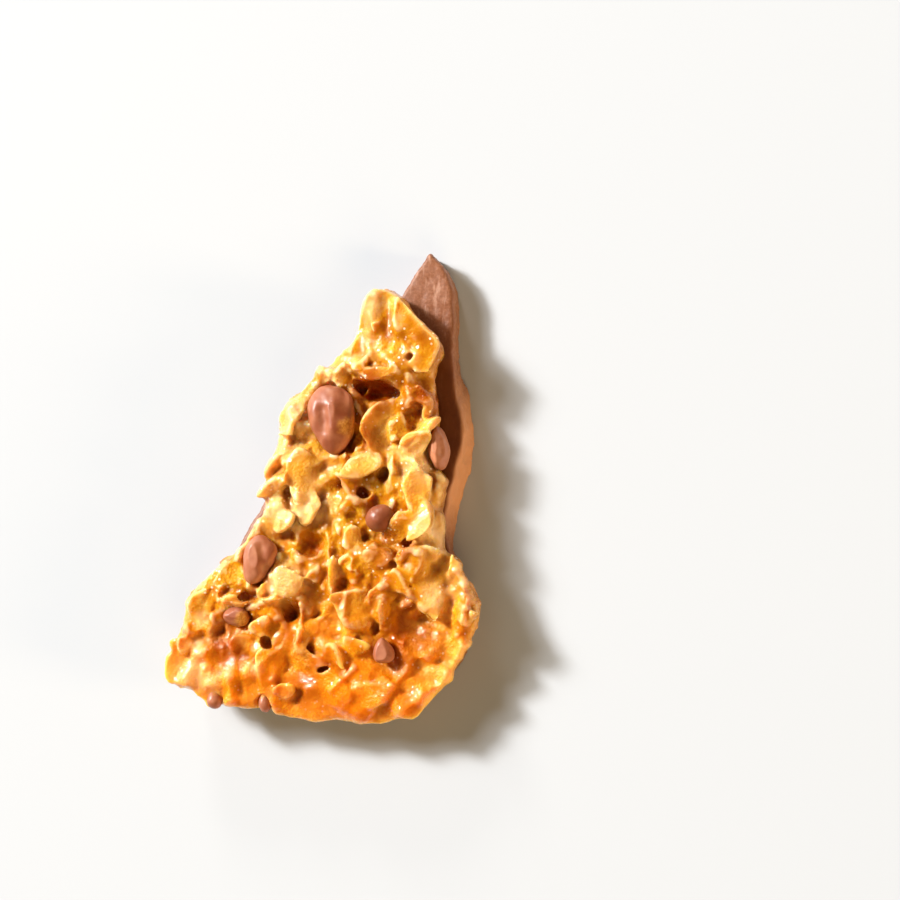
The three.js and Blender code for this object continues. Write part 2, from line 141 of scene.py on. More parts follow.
# Folds of the caramel: from x, y to x, y, spread, height. A minus is a groove.
CARAMEL_FOLDS = [
    (10.1, 28.0, 10.6, 21.3, 0.9, -0.45), (11.9, 28.6, 11.6, 24.3, 0.7, 0.3),
    (13.0, 22.7, 14.1, 21.3, 0.9, -0.7), (8.6, 29.4, 7.6, 24.2, 0.9, 0.6),
    (4.1, 18.6, 5.9, 15.0, 0.4, 0.5), (6.6, 29.1, 4.4, 21.0, 0.9, 0.4),
    (6.3, 16.9, 12.1, 16.2, 0.6, 0.5), (13.7, 16.5, 13.8, 13.0, 0.9, 0.7),
    (7.3, 21.9, 9.2, 17.6, 0.6, 0.4), (10.2, 19.8, 12.4, 17.2, 0.6, 0.5),
    (12.5, 29.4, 18.9, 21.4, 0.4, 0.5), (12.1, 5.9, 17.8, 9.8, 0.5, 0.5),
    (17.8, 2.1, 18.9, -5.5, 0.6, 0.4), (21.0, -13.1, 24.0, -19.5, 0.7, 0.4),
    (22.0, -23.6, 18.7, -30.4, 0.7, 0.4), (11.5, -29.7, 17.2, -25.0, 0.6, 0.3),
    (1.6, -30.8, 5.1, -27.6, 0.5, 0.5),
    (-13.5, -18.8, -7.1, -16.8, 0.4, 0.5), (-3.3, -17.9, -3.5, -23.2, 0.4, 0.5),
    (0.8, -7.3, 1.8, -17.2, 0.5, 0.5), (4.9, -11.2, 3.9, -20.3, 0.5, 0.4),
    (-12.3, -12.7, -11.6, -14.8, 0.45, 0.7), (-11.6, -14.8, -9.3, -15.9, 0.45, 0.7),
    (-16.2, -17.0, -12.1, -17.7, 0.45, 0.5), (-9.7, -17.2, -7.1, -16.9, 0.45, 0.5),
    (12.8, -11.4, 14.1, -10.2, 0.4, 0.5), (14.1, -10.2, 15.6, -10.7, 0.4, 0.5),
    (17.9, -10.3, 18.1, -14.3, 1.3, -0.3), (11.7, -19.9, 16.9, -21.0, 1.8, -1.0),
    (5.0, 13.4, 6.5, 9.6, 0.4, 0.5), (6.5, 9.6, 6.4, 6.2, 0.4, 0.5),
    (-3.6, -1.4, -3.9, -7.0, 1.1, 0.8), (-6.1, 13.7, -3.7, 8.9, 1.0, 0.6),
    (9.7, -7.0, 13.1, -11.4, 1.3, -0.9), (11.7, 7.0, 11.4, 2.4, 0.6, 0.6),
    (-21.4, -26.4, -21.8, -29.0, 0.9, 0.3), (-18.4, -25.4, -18.3, -29.6, 1.0, 0.4),
    (-14.9, -28.6, -14.4, -32.0, 0.8, 0.5), (-11.0, -25.0, -11.8, -28.0, 1.1, 0.5),
    (-7.4, -27.4, -7.8, -32.6, 0.8, 0.4), (-19.5, -26.4, -20.2, -30.4, 0.6, -0.3),
    (-16.3, -28.0, -16.2, -31.8, 0.5, -0.3), (-13.2, -25.8, -13.0, -31.0, 0.6, -0.3),
    (-7.0, -3.6, -5.0, -5.4, 1.5, 0.9), (-2.8, -1.8, -1.0, -4.4, 1.5, 0.8),
    (-4.6, 12.6, -3.0, 10.4, 1.3, 0.7), (16.2, -6.4, 17.6, -9.0, 1.1, 0.6),
    (24.2, -18.6, 22.2, -24.8, 0.9, 0.4), (22.2, -24.8, 18.4, -30.6, 0.9, 0.4),
    (18.4, -30.6, 12.2, -34.2, 0.9, 0.3),
]

# Where the caramel is deep and dark, or thin and pale with a minus: x, y, radius, depth. Dark
# rows also paint shade in hollows, and pale rows paint highlights.
POOLS_AND_PAINTED_LIGHT = [
    # the lobe and what lies under it
    (8.0, 27.6, 2.0, -1.0), (10.1, 26.0, 1.3, 0.5), (10.5, 23.2, 1.4, 0.7),
    (12.2, 25.8, 1.0, -0.5), (15.6, 22.6, 2.2, 0.5), (7.4, 22.8, 1.3, -0.3),
    (9.2, 20.2, 1.6, -0.3), (14.0, 19.9, 1.5, -0.6), (4.6, 18.6, 1.6, -0.5),
    (5.6, 15.8, 1.8, 1.0), (9.0, 14.8, 2.6, 1.0), (15.8, 13.7, 2.0, 1.0),
    # the upper middle
    (-3.5, 11.6, 2.6, -1.0), (-5.4, 7.6, 2.6, -0.7), (1.4, 16.4, 1.7, -1.0),
    (6.9, 7.7, 2.6, 0.6), (15.5, 3.8, 2.8, -0.8), (2.8, 0.6, 1.6, 0.6),
    (6.0, -0.8, 1.8, 0.5), (-0.1, 3.1, 3.0, -0.2), (16.2, 0.4, 3.2, -0.2),
    # the lower middle
    (-5.8, -4.6, 2.4, -0.8), (-1.6, -3.0, 2.8, -1.0), (-8.1, -1.3, 3.2, -0.5),
    (17.0, -7.6, 2.4, -1.0), (-1.9, -8.9, 2.6, 0.9), (10.0, -7.5, 3.0, 0.7),
    (8.7, -11.6, 2.4, 0.4), (13.6, -9.6, 1.6, 0.8), (-5.8, -14.2, 2.8, -1.0),
    (2.9, -16.0, 3.0, 0.3), (-4.9, -18.9, 1.8, 0.7), (-11.5, -16.6, 2.2, 0.5),
    (17.4, -17.3, 2.6, -1.0), (14.3, -18.4, 2.8, 0.8), (8.6, -17.2, 2.2, 0.5),
    (11.9, -23.2, 2.8, 1.0), (16.5, -23.2, 2.4, 0.35), (22.2, -17.4, 2.8, 0.25),
    # the lower end
    (-16.3, -21.4, 3.4, 0.7), (-16.4, -24.4, 1.8, 0.6), (-12.7, -25.0, 2.2, 0.8),
    (-6.5, -24.8, 2.2, 0.5), (-1.6, -25.6, 2.4, 0.5), (-13.5, -29.6, 1.6, 0.5),
    (-2.7, -30.9, 2.4, 0.7), (11.8, -27.4, 2.6, 0.5), (-20.8, -27.6, 2.6, -0.7),
    (-8.6, -30.6, 1.6, 0.5), (19.8, -28.3, 2.6, -0.1),
    # painted highlights there, as small pale patches
    (-19.3, -19.7, 1.3, -1.0), (-20.3, -23.8, 1.2, -0.9), (-11.0, -24.2, 1.1, -1.0),
    (-10.9, -27.0, 1.4, -1.0), (-17.6, -29.4, 1.2, -0.8), (-14.6, -28.4, 1.0, -0.8),
]

# Regions of the shard
LOWER_END_Y = -24                # below this the caramel is thick and hides most slices
SMOOTH_LOBE_Y = 20               # and above this too, in the smooth lobe
RIGHT_RIM_X = 12                 # right of this the rim broke clean
LEDGE_Y = (-10, -1)              # here the plate shows past the florentine on the left
# The orange towards the lower end is partly the thick caramel's own colour and partly painted glow
# of light through it
LOW_END_Y = -12                  # from here down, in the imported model's own y, the caramel
LOW_END_FADE = 20                # turns from amber to orange over this length

# The form of a slice
LARGE_THICKNESS = 0.75
SMALL_THICKNESS = (0.5, 0.68)
SLICE_TAPER = 0.42               # how much narrower it gets towards its point
SLICE_UNEVEN = 0.08
SLICE_BEND = (-0.25, 0.45)       # how far its ends bend up
STEEPER = 1.15                   # the slices stand steeper than their blunt solids
LARGE_SNAPS = (0, 1, 1, 2)       # how many corners are snapped off a slice
SMALL_SNAPS = (1, 1, 2, 2, 3)
CHIP_SNAPS = (0, 0, 1)
SNAP_REACH = (0.45, 0.8)         # how far out they snap, against half the slice

# Slices too small or too many for the solid, and crumbs of almond along the broken rim. A pose
# has the ranges of turn, tip up, side up, lift and cup. Most stand up on their upper left side.
SMALL_SLICES = 14
SMALL_SPACING = 3.2
SMALL_LENGTH = (2.6, 4.6)
SMALL_WIDTH = (0.45, 0.8)        # against its length
SMALL_POSE = [(-30, 120), (-12, 12), (8, 34), (0.1, 0.6), (-0.6, 0.9)]
EDGE_CHIPS = 26
CHIP_SPACING = 2.2
CHIP_LENGTH = (1.6, 3.2)
CHIP_WIDTH = (0.5, 0.9)
CHIP_POSE = [(0, 360), (-14, 14), (-14, 24), (-1.2, -0.2)]
CHIP_CUP = 0.2
ENDS_LEFT_OUT = 0.7              # share of places left empty in the lobe and lower end
SLICE_CLEARANCE = 0.33           # from a larger slice's middle, against that slice's length
HOLLOW_CLEARANCE = 1.0           # and from a hollow's edge and a drop's
DROP_CLEARANCE = 0.9
INNER_REACH = 1.0                # how far from its middle a slice, or a chip, looks for caramel
RIM_REACH = 0.9
PLACE_TRIES = 8000
PLACE_SEED = 11
LAYING_SEED = 5
ABOVE = 40                       # a height well above the shard, to look down from
FOUR_WAYS = (0, 1.57, 3.14, 4.71)     # round a place, in radians

# Broken almond just under the caramel: flat facets between webs of caramel
FACET_SIZE = (1.9, 3.9)
SMOOTH_FACET_SIZE = (3.4, 5.6)   # in the lobe and along the thick lower end
FACET_TRIES = 6000
FACET_SEED = 23
FACET_SHARE = 0.65               # the rest are hollows of caramel
FACET_LEVEL = (-0.35, 0.4)
FACET_SLOPE = 0.34
FACET_LEAN = (0.1, -0.05)        # the mean slope to the right and up
FACET_BEND = 0.9                 # how far the borders between facets stray
FACET_BEND_SIZE = 2.2            # and over what length
WEB_HEIGHT = 0.35
WEB_WIDTH = 0.35
DISH_DEPTH = (0.1, 0.6)
FACET_ENDS = (0.35, 0.35)        # how much of them shows at the lower end and in the lobe

# Thin leaves of almond and caramel that overlap on the upper side
LEAF_STEP = 0.09                 # how soft the step at a leaf's edge is
LEAF_LAYERS = [(3.0, 0.14, 15.0), (1.7, 0.08, 21.0)]   # size, half height and seed
LEAF_ENDS = (0.25, 0.35)
LEAF_ON_SLICE = 0.45             # how much shows on the smooth face of a slice

# Finer relief: size, height and seed
SWELL = (2.4, 0.25, 4.0)         # slow swells of the caramel
GRAINS = (0.8, 0.1, 9.0)         # grains of sugar
SUGAR_PATCH = (3.4, 2.0)         # size and seed of the patches where they show

# Melting the slices into the caramel
MOUND_VOXEL = 0.5 * MM
MOUND_ROUNDS = 5
MOUND_RIDGE_SHARE = 0.7          # how much of the melting reaches a ridge, against a crease
FLORENTINE_VOXEL = 0.27 * MM
MELT_ROUNDS = 5
RIDGE_SHARE = 0.12
MELT_STEP = 0.6

# What the caramel material is told of the crust
LIT_THROUGH = 4.2                # light comes through less than this
OUTLOOK = 6                      # how far away the crust itself can shade a place
SLICE_FADE = 0.3                 # a slice fades out over this depth of caramel
SLICE_NEAR = 1.0                 # and is looked for within this

# The plate. Along its length: where the upper side gets rough and lighter, the top further
# down staying darker partly as painted shadow, and how much painted light the right side gets
CHOCOLATE_VOXEL = 0.4 * MM
PLATE_ROUNDS = 3
PLATE_RIDGE_SHARE = 0.5
TOP_DEPTH = 0.6                  # a face this near the top belongs to it
ROUGH_TOP_AND_SHADE = ([20, 30], [0.1, 1.0])
RIGHT_SIDE_LIGHT = ([-9, -2, 10, 18], [0, 0.9, 0.8, 0.15])
LEDGE = ([*LEDGE_Y, 3], [0.2, 1.0, 0.0])     # how far the left ledge stands out
COARSE_BREAK = (1.6, 0.3, 2.0)   # size, height and seed
FINE_BREAK = (0.6, 0.12, 6.0)

DROP_NUMBERS = range(1, 9)

# Folds of the softened drops, by drop: from x, y to x, y, spread, height
DROP_FOLDS = {
    1: [(0.7, 11.6, 0.9, 8.6, 1.0, -0.5), (2.3, 12.4, 2.2, 8.8, 0.8, 0.3),
        (-0.7, 13.2, -1.0, 9.8, 0.9, 0.25), (3.9, 14.4, 4.3, 10.8, 0.9, -0.3)],
    2: [(17.7, 7.6, 18.2, 3.4, 0.5, 0.35), (18.7, 7.0, 18.9, 4.6, 0.4, -0.25)],
    4: [(-10.6, -8.4, -9.6, -13.4, 0.7, 0.3), (-9.2, -9.0, -8.7, -12.0, 0.6, -0.25)],
    5: [(-15.2, -19.4, -12.4, -19.0, 0.5, 0.3)],
    8: [(9.6, -23.6, 9.6, -26.2, 0.9, 0.35)],
}
DROP_LEVELS = 3
DENT_SIZE = 2.6
DENT_DEPTH = 0.25

# How pale a drop is, drop 3's low tone being painted shade, and how far it spread from its
# solid's form, across and along
DROP_TONE_AND_SHADE = {1: 0.3, 2: 0.46, 3: 0.14, 4: 0.36, 5: 0.25, 6: 0.34, 7: 0.34, 8: 0.34}
DROP_SPREAD = {8: (1.6, 1.15)}

# Caramel that ran over a drop, by drop: x, y, radius
CARAMEL_FILMS = {1: (4.8, 9.0, 1.7), 5: (-12.2, -20.4, 1.6), 6: (-17.0, -30.6, 0.9),
                 7: (-9.6, -31.0, 0.8)}

FLOOR_REACH = 4.0    # metres each way


def linear(hex_colour):
    """An sRGB hex value as the linear colour that a shader takes."""
    channels = [int(hex_colour[i:i + 2], 16) / 255 for i in (1, 3, 5)]
    straight = [c / 12.92 if c <= 0.04045 else ((c + 0.055) / 1.055) ** 2.4 for c in channels]
    return (*straight, 1.0)


def placed(x, y, z=0):
    """A place in the maker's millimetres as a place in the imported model."""
    return ORIGIN + Vector((x, y, z)) * MM


# Camera, at the photograph's angle to the florentine face

def photo_camera():
    back = Vector((math.tan(VIEW_RIGHT), -math.tan(VIEW_DOWN), 1)).normalized()
    right = Vector((0, 1, 0)).cross(back).normalized()
    up = back.cross(right)
    distance = FRAME_PX / PX_PER_MM * LENS / SENSOR * MM
    across = (SHARD_PX[0] - FRAME_PX / 2) / PX_PER_MM * MM
    down = (SHARD_PX[1] - FRAME_PX / 2) / PX_PER_MM * MM
    aim = SHARD_MIDDLE - right * across + up * down
    lens = bpy.data.cameras.new("photo_camera")
    lens.lens = LENS
    lens.sensor_width = SENSOR
    lens.clip_start = 0.01
    camera = bpy.data.objects.new("photo_camera", lens)
    turn = Matrix((right, up, back)).transposed().to_4x4()
    camera.matrix_world = Matrix.Translation(aim + back * distance) @ turn
    bpy.context.scene.collection.objects.link(camera)
    bpy.context.scene.camera = camera


# Materials

def new_material(name):
    material = bpy.data.materials.new(name)
    material.use_nodes = True
    material.node_tree.nodes.clear()
    return material


def add_node(material, kind, settings=None, stops=(), **inputs):
    """Adds a node. An input is a plain value, a hex colour, or (node, output) for a link.
    Its key is the socket's name, or in and a number, and stops are a ramp's places and colours."""
    node = material.node_tree.nodes.new(kind)
    for key, value in (settings or {}).items():
        setattr(node, key, value)
    for index, (place, colour) in enumerate(stops):
        ready = node.color_ramp.elements
        element = ready[index] if index < 2 else ready.new(place)
        element.position = place
        element.color = linear(colour) if isinstance(colour, str) else (colour, colour, colour, 1)
    for key, value in inputs.items():
        numbered = key[:2] == "in" and key[2:].isdigit()
        socket = node.inputs[int(key[2:])] if numbered else node.inputs[key.replace("_", " ")]
        if isinstance(value, str):
            socket.default_value = linear(value)
        elif isinstance(value, tuple) and isinstance(value[0], bpy.types.Node):
            material.node_tree.links.new(value[0].outputs[value[1]], socket)
        else:
            socket.default_value = value
    return node


def per_mm(size):
    """The noise scale whose lumps are about this many millimetres across."""
    return 1 / (size * MM)


RAMP = "ShaderNodeValToRGB"
NOISE = "ShaderNodeTexNoise"
MIX = "ShaderNodeMix"
MATH = "ShaderNodeMath"
BUMP = "ShaderNodeBump"
ATTRIBUTE = "ShaderNodeAttribute"
COLOUR = {"data_type": "RGBA"}
TIMES = {"operation": "MULTIPLY"}
MIXED = 2      # a colour mix gives its colour on this output


def caramel_material():
    # Cooked sugar caramel over sliced almonds: clear amber with a wet gloss. Almond faces show
    # through it paler, each in its own tone, and a deep pool of caramel is dark red-brown. Painted
    # light goes over that: shade in pits, creases and dark pools, highlights on ridges and pale
    # pools, glints among the bubble specks, and a glow on rims and thin places.
    m = new_material("cooked_caramel_and_sliced_almond")
    pit, rim, pool, ridge, thin, low_end, wall, almond, tone = [
        add_node(m, ATTRIBUTE, {"attribute_name": note}) for note in
        ("pit", "rim", "pool", "ridge", "thin", "low_end", "wall", "almond", "tone")]
    here = (add_node(m, "ShaderNodeTexCoord"), "Object")
    patch = add_node(m, NOISE, Vector=here, Scale=per_mm(3.2), Detail=3.0)
    grain = add_node(m, NOISE, Vector=here, Scale=per_mm(0.7), Detail=3.0)
    amber = add_node(m, RAMP, stops=[(0.3, "#B46200"), (0.52, "#CE8A0A"), (0.7, "#E4AA2A")],
                     Fac=(patch, "Fac"))
    # towards the lower end: partly thick caramel's colour, partly painted glow
    orange = add_node(m, RAMP, stops=[(0.3, "#CC6402"), (0.55, "#EA8204"), (0.75, "#F69C14")],
                      Fac=(patch, "Fac"))
    body = add_node(m, MIX, COLOUR, in0=(low_end, "Fac"), in6=(amber, "Color"),
                    in7=(orange, "Color"))
    flake = add_node(m, RAMP, stops=[(0.0, "#D08A10"), (0.35, "#D6921A"), (0.6, "#D49228"),
                                     (0.8, "#E4AC4C"), (1.0, "#F0C880")], Fac=(tone, "Fac"))
    bare = add_node(m, RAMP, stops=[(0.35, 0.15), (0.62, 0.75)], Fac=(patch, "Fac"))
    cover = add_node(m, MATH, TIMES, in0=(almond, "Fac"), in1=(bare, "Color"))
    shallow = add_node(m, RAMP, stops=[(0.2, 1.0), (0.9, 0.22)], Fac=(low_end, "Fac"))
    shown = add_node(m, MATH, TIMES, in0=(cover, "Value"), in1=(shallow, "Color"))
    # Painted highlight, #FDE8C0, on ridges, and painted shade, #AE5A00, in creases
    edge = add_node(m, RAMP, stops=[(0.58, 0.0), (0.86, 0.6)], Fac=(ridge, "Fac"))
    painted_ridge_highlight = add_node(m, MATH, TIMES, in0=(edge, "Color"), in1=(shallow, "Color"))
    crease = add_node(m, RAMP, stops=[(0.2, 0.55), (0.45, 0.0)], Fac=(ridge, "Fac"))
    # Painted glow on rims that face sideways, yellower at the lower end
    painted_rim_glow = add_node(m, MIX, COLOUR, in0=(low_end, "Fac"), in6="#F8C970", in7="#FFC448")
    snapped = add_node(m, RAMP, stops=[(0.35, "#90500C"), (0.65, "#CC8A32")], Fac=(patch, "Fac"))
    steep = add_node(m, RAMP, stops=[(0.0, 0.0), (1.0, 0.85)], Fac=(wall, "Fac"))
    # Deep caramel darker and scant caramel paler, the same rows also painting shade and highlights
    thick = add_node(m, RAMP, stops=[(0.5, 0.0), (0.95, 1.0)], Fac=(pool, "Fac"))
    scant = add_node(m, RAMP, stops=[(0.05, 0.6), (0.5, 0.0)], Fac=(pool, "Fac"))
    # Painted shade, #903A00, where the crust closes in round a place
    painted_pit_shade = add_node(m, RAMP, stops=[(0.35, 0.0), (1.0, 0.95)], Fac=(pit, "Fac"))
    # White specks: bubbles in the caramel, which also stand in as painted glints
    bubbles_and_glints = add_node(m, "ShaderNodeTexVoronoi", Vector=here, Scale=per_mm(0.95))
    froth_and_glint_noise = add_node(m, NOISE, Vector=here, Scale=per_mm(3.6), Detail=1.0)
    near = add_node(m, RAMP, stops=[(0.14, 1.0), (0.24, 0.0)], Fac=(bubbles_and_glints, "Distance"))
    froth_and_glints = add_node(m, RAMP, stops=[(0.52, 0.0), (0.64, 0.8)], Fac=(froth_and_glint_noise, "Fac"))
    higher = add_node(m, MATH, TIMES, in0=(froth_and_glints, "Color"), in1=(shallow, "Color"))
    specks = add_node(m, MATH, TIMES, in0=(near, "Color"), in1=(higher, "Value"))
    # Each layer goes over the last: how much of it shows, and its colour
    layers = [((shown, "Value"), (flake, "Color")), ((painted_ridge_highlight, "Value"), "#FDE8C0"),
              # Thin places are paler, partly thin caramel's own colour and partly painted glow of
              # light through it
              ((crease, "Color"), "#AE5A00"), ((thin, "Fac"), "#F0B450"),
              ((rim, "Fac"), (painted_rim_glow, MIXED)), ((steep, "Color"), (snapped, "Color")),
              ((thick, "Color"), "#A04800"), ((scant, "Color"), "#F6D498"),
              ((painted_pit_shade, "Color"), "#903A00"), ((specks, "Value"), "#FFF4DC")]
    colour = (body, MIXED)
    for share, layer in layers:
        colour = (add_node(m, MIX, COLOUR, in0=share, in6=colour, in7=layer), MIXED)
    ripples = add_node(m, NOISE, Vector=here, Scale=per_mm(1.1), Detail=2.0)
    pores = add_node(m, NOISE, Vector=here, Scale=per_mm(0.4), Detail=2.0)
    grainy = add_node(m, RAMP, stops=[(0.42, 0.25), (0.62, 0.9)], Fac=(patch, "Fac"))
    waves = add_node(m, BUMP, Strength=0.35, Distance=0.3 * MM, Height=(ripples, "Fac"))
    skin = add_node(m, BUMP, Strength=(grainy, "Color"), Distance=0.3 * MM,
                    Height=(pores, "Fac"), Normal=(waves, "Normal"))
    beads = add_node(m, NOISE, Vector=here, Scale=per_mm(0.6), Detail=1.0)
    sparkle = add_node(m, BUMP, Strength=0.9, Distance=0.25 * MM, Height=(beads, "Fac"))
    gloss = add_node(m, RAMP, stops=[(0.35, 0.26), (0.7, 0.44)], Fac=(grain, "Fac"))
    shader = add_node(m, "ShaderNodeBsdfPrincipled", Base_Color=colour,
                      Roughness=(gloss, "Color"), IOR=1.45, Specular_IOR_Level=0.55,
                      Specular_Tint="#FFD090", Subsurface_Weight=0.75,
                      Subsurface_Radius=(0.75, 0.55, 0.14), Subsurface_Scale=2.5 * MM,
                      Coat_Weight=0.85, Coat_Roughness=0.07, Coat_IOR=1.5, Normal=(skin, "Normal"),
                      Coat_Normal=(sparkle, "Normal"))
    add_node(m, "ShaderNodeOutputMaterial", Surface=(shader, "BSDF"))
    return m


def plate_material():
    # Tempered milk chocolate, cast and snapped: satin skin, lighter and duller on the breaks
    m = new_material("tempered_milk_chocolate")
    broken, fresh, dusty = [add_node(m, ATTRIBUTE, {"attribute_name": note})
                            for note in ("broken", "fresh", "dusty")]
    here = (add_node(m, "ShaderNodeTexCoord"), "Object")
    drawn = add_node(m, "ShaderNodeMapping", in1=(0, 0, 0), in2=(0, 0, math.radians(-24)),
                     in3=(1.0, 0.22, 1.0), Vector=here)
    streaks = add_node(m, NOISE, Vector=(drawn, "Vector"), Scale=per_mm(0.7), Detail=3.0)
    patch = add_node(m, NOISE, Vector=here, Scale=per_mm(4.0), Detail=4.0)
    grit = add_node(m, NOISE, Vector=here, Scale=per_mm(0.45), Detail=4.0, Roughness=0.6)
    skin = add_node(m, RAMP, stops=[(0.3, "#5A2A14"), (0.7, "#74401F")], Fac=(patch, "Fac"))
    snapped = add_node(m, RAMP, stops=[(0.3, "#74442A"), (0.5, "#845338"), (0.72, "#98684E")],
                       Fac=(grit, "Fac"))
    colour = add_node(m, MIX, COLOUR, in0=(broken, "Fac"), in6=(skin, "Color"),
                      in7=(snapped, "Color"))
    chalky = add_node(m, RAMP, stops=[(0.56, 0.0), (0.7, 0.5)], Fac=(streaks, "Fac"))
    bloom = add_node(m, MATH, TIMES, in0=(chalky, "Color"), in1=(dusty, "Fac"))
    dusted = add_node(m, MIX, COLOUR, in0=(bloom, "Value"), in6=(colour, MIXED), in7="#C49A84")
    # Painted light: the right-facing break lighter tan, as if lit from the right
    painted_right_light = add_node(m, MIX, COLOUR, in0=(fresh, "Fac"), in6=(dusted, MIXED), in7="#D09468")
    rough = add_node(m, RAMP, stops=[(0.0, 0.34), (1.0, 0.5)], Fac=(broken, "Fac"))
    bump = add_node(m, BUMP, Strength=0.4, Distance=0.12 * MM, Height=(grit, "Fac"))
    shader = add_node(m, "ShaderNodeBsdfPrincipled", Base_Color=(painted_right_light, MIXED),
                      Roughness=(rough, "Color"), IOR=1.46, Subsurface_Weight=0.1,
                      Subsurface_Radius=(1.0, 0.5, 0.3), Subsurface_Scale=0.8 * MM,
                      Normal=(bump, "Normal"))
    add_node(m, "ShaderNodeOutputMaterial", Surface=(shader, "BSDF"))
    return m


def drop_material():
    # Milk chocolate drops, softened in the warm caramel and set again: smooth with a satin shine
    m = new_material("milk_chocolate_drop")
    glaze, tone = [add_node(m, ATTRIBUTE, {"attribute_name": note}) for note in ("glaze", "tone")]
    here = (add_node(m, "ShaderNodeTexCoord"), "Object")
    patch = add_node(m, NOISE, Vector=here, Scale=per_mm(2.2), Detail=3.0)
    specks = add_node(m, NOISE, Vector=here, Scale=per_mm(0.35), Detail=3.0)
    shade = add_node(m, MATH, {"operation": "MULTIPLY_ADD"}, in0=(patch, "Fac"), in1=0.5,
                     in2=(tone, "Fac"))
    brown = add_node(m, RAMP, stops=[(0.2, "#70381C"), (0.5, "#925034"), (0.8, "#BA7C5A")],
                     Fac=(shade, "Value"))
    film = add_node(m, RAMP, stops=[(0.35, "#B8741E"), (0.65, "#E2A650")], Fac=(specks, "Fac"))
    colour = add_node(m, MIX, COLOUR, in0=(glaze, "Fac"), in6=(brown, "Color"), in7=(film, "Color"))
    rough = add_node(m, RAMP, stops=[(0.3, 0.36), (0.7, 0.46)], Fac=(specks, "Fac"))
    bump = add_node(m, BUMP, Strength=0.2, Distance=0.08 * MM, Height=(specks, "Fac"))
    shader = add_node(m, "ShaderNodeBsdfPrincipled", Base_Color=(colour, MIXED),
                      Roughness=(rough, "Color"), IOR=1.46, Specular_IOR_Level=0.8,
                      Subsurface_Weight=0.15, Subsurface_Radius=(1.0, 0.45, 0.25),
                      Subsurface_Scale=1.0 * MM, Normal=(bump, "Normal"))
    add_node(m, "ShaderNodeOutputMaterial", Surface=(shader, "BSDF"))
    return m


def floor_material():
    # Matt paper backdrop
    m = new_material("matt_white_paper")
    shader = add_node(m, "ShaderNodeBsdfPrincipled", Base_Color="#B7BBC1", Roughness=0.9)
    add_node(m, "ShaderNodeOutputMaterial", Surface=(shader, "BSDF"))
    return m


# Mesh helpers

def merged_copy(node):
    """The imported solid's faces as one connected bmesh."""
    shape = bmesh.new()
    shape.from_mesh(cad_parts[node].data)
    bmesh.ops.remove_doubles(shape, verts=shape.verts, dist=1e-6)
    return shape


def new_piece(name, shape, material):
    """An object of this shape. The bmesh is freed."""
    mesh = bpy.data.meshes.new(name)
    shape.to_mesh(mesh)
    shape.free()
    mesh.materials.append(material)
    piece = bpy.data.objects.new(name, mesh)
    bpy.context.scene.collection.objects.link(piece)
    return piece


def apply_modifiers(piece):
    graph = bpy.context.evaluated_depsgraph_get()
    settled = bpy.data.meshes.new_from_object(piece.evaluated_get(graph))
    piece.modifiers.clear()
    old = piece.data
    piece.data = settled
    bpy.data.meshes.remove(old)


def voxel_skin(piece, size):
    """One even skin round everything in the piece."""
    remesh = piece.modifiers.new("skin", "REMESH")
    remesh.mode = "VOXEL"
    remesh.voxel_size = size
    apply_modifiers(piece)


def read_places(mesh):
    places = np.empty(len(mesh.vertices) * 3, np.float32)
    mesh.vertices.foreach_get("co", places)
    return places.reshape(-1, 3).astype(float)


def read_normals(mesh):
    normals = np.empty(len(mesh.vertices) * 3, np.float32)
    mesh.vertices.foreach_get("normal", normals)
    return normals.reshape(-1, 3).astype(float)


def read_edges(mesh):
    edges = np.empty(len(mesh.edges) * 2, np.int32)
    mesh.edges.foreach_get("vertices", edges)
    return edges.reshape(-1, 2)


def write_places(mesh, places):
    mesh.vertices.foreach_set("co", places.astype(np.float32).ravel())
    mesh.update()


def write_attribute(mesh, name, values):
    layer = mesh.attributes.new(name, "FLOAT", "POINT")
    layer.data.foreach_set("value", np.asarray(values, np.float32))


def neighbour_mean(values, edges, rounds=1):
    """Mean over each vertex's neighbours, taken again for each round."""
    count = len(values)
    degree = np.maximum(np.bincount(edges.ravel(), minlength=count), 1)[:, None]
    flat = values.reshape(count, -1).copy()
    for _ in range(rounds):
        total = np.zeros_like(flat)
        for column in range(flat.shape[1]):
            total[:, column] += np.bincount(edges[:, 0], flat[edges[:, 1], column], count)
            total[:, column] += np.bincount(edges[:, 1], flat[edges[:, 0], column], count)
        flat = total / degree
    return flat.reshape(values.shape)


def melt(mesh, rounds, ridge_share):
    """Smooths creases fully and ridges by this share, as caramel runs into the corners."""
    edges = read_edges(mesh)
    places = read_places(mesh)
    for _ in range(rounds):
        write_places(mesh, places)
        pull = neighbour_mean(places, edges) - places
        outward = (pull * read_normals(mesh)).sum(1) > 0
        share = np.where(outward, MELT_STEP, MELT_STEP * ridge_share)
        places = places + pull * share[:, None]
    write_places(mesh, places)


def ripple(places, size, seed):
    """Smooth noise from about -1 to 1, in lumps of this many millimetres."""
    shift = Vector((seed, seed * 1.7, seed * 0.6))
    return np.array([noise.noise(Vector(p) / (size * MM) + shift) for p in places])


def leaves(places, size, seed):
    """Flat levels with steep steps between them, from -1 to 1, as flakes that overlap."""
    return np.tanh(ripple(places, size, seed) / LEAF_STEP)


def fold(places, normals, folds):
    """Raises a rounded ridge, or sinks a groove, along each fold on the upper side."""
    upward = np.clip(normals[:, 2] * 1.5, 0, 1)
    flat = places[:, :2] - np.array(ORIGIN[:2])
    for x0, y0, x1, y1, spread, height in folds:
        start = np.array((x0, y0)) * MM
        run = np.array((x1, y1)) * MM - start
        share = np.clip(((flat - start) @ run) / (run @ run), 0, 1)
        away = np.linalg.norm(flat - start - share[:, None] * run, axis=1) / (spread * MM)
        places[:, 2] += height * MM * upward * np.exp(-away ** 2)
    return places


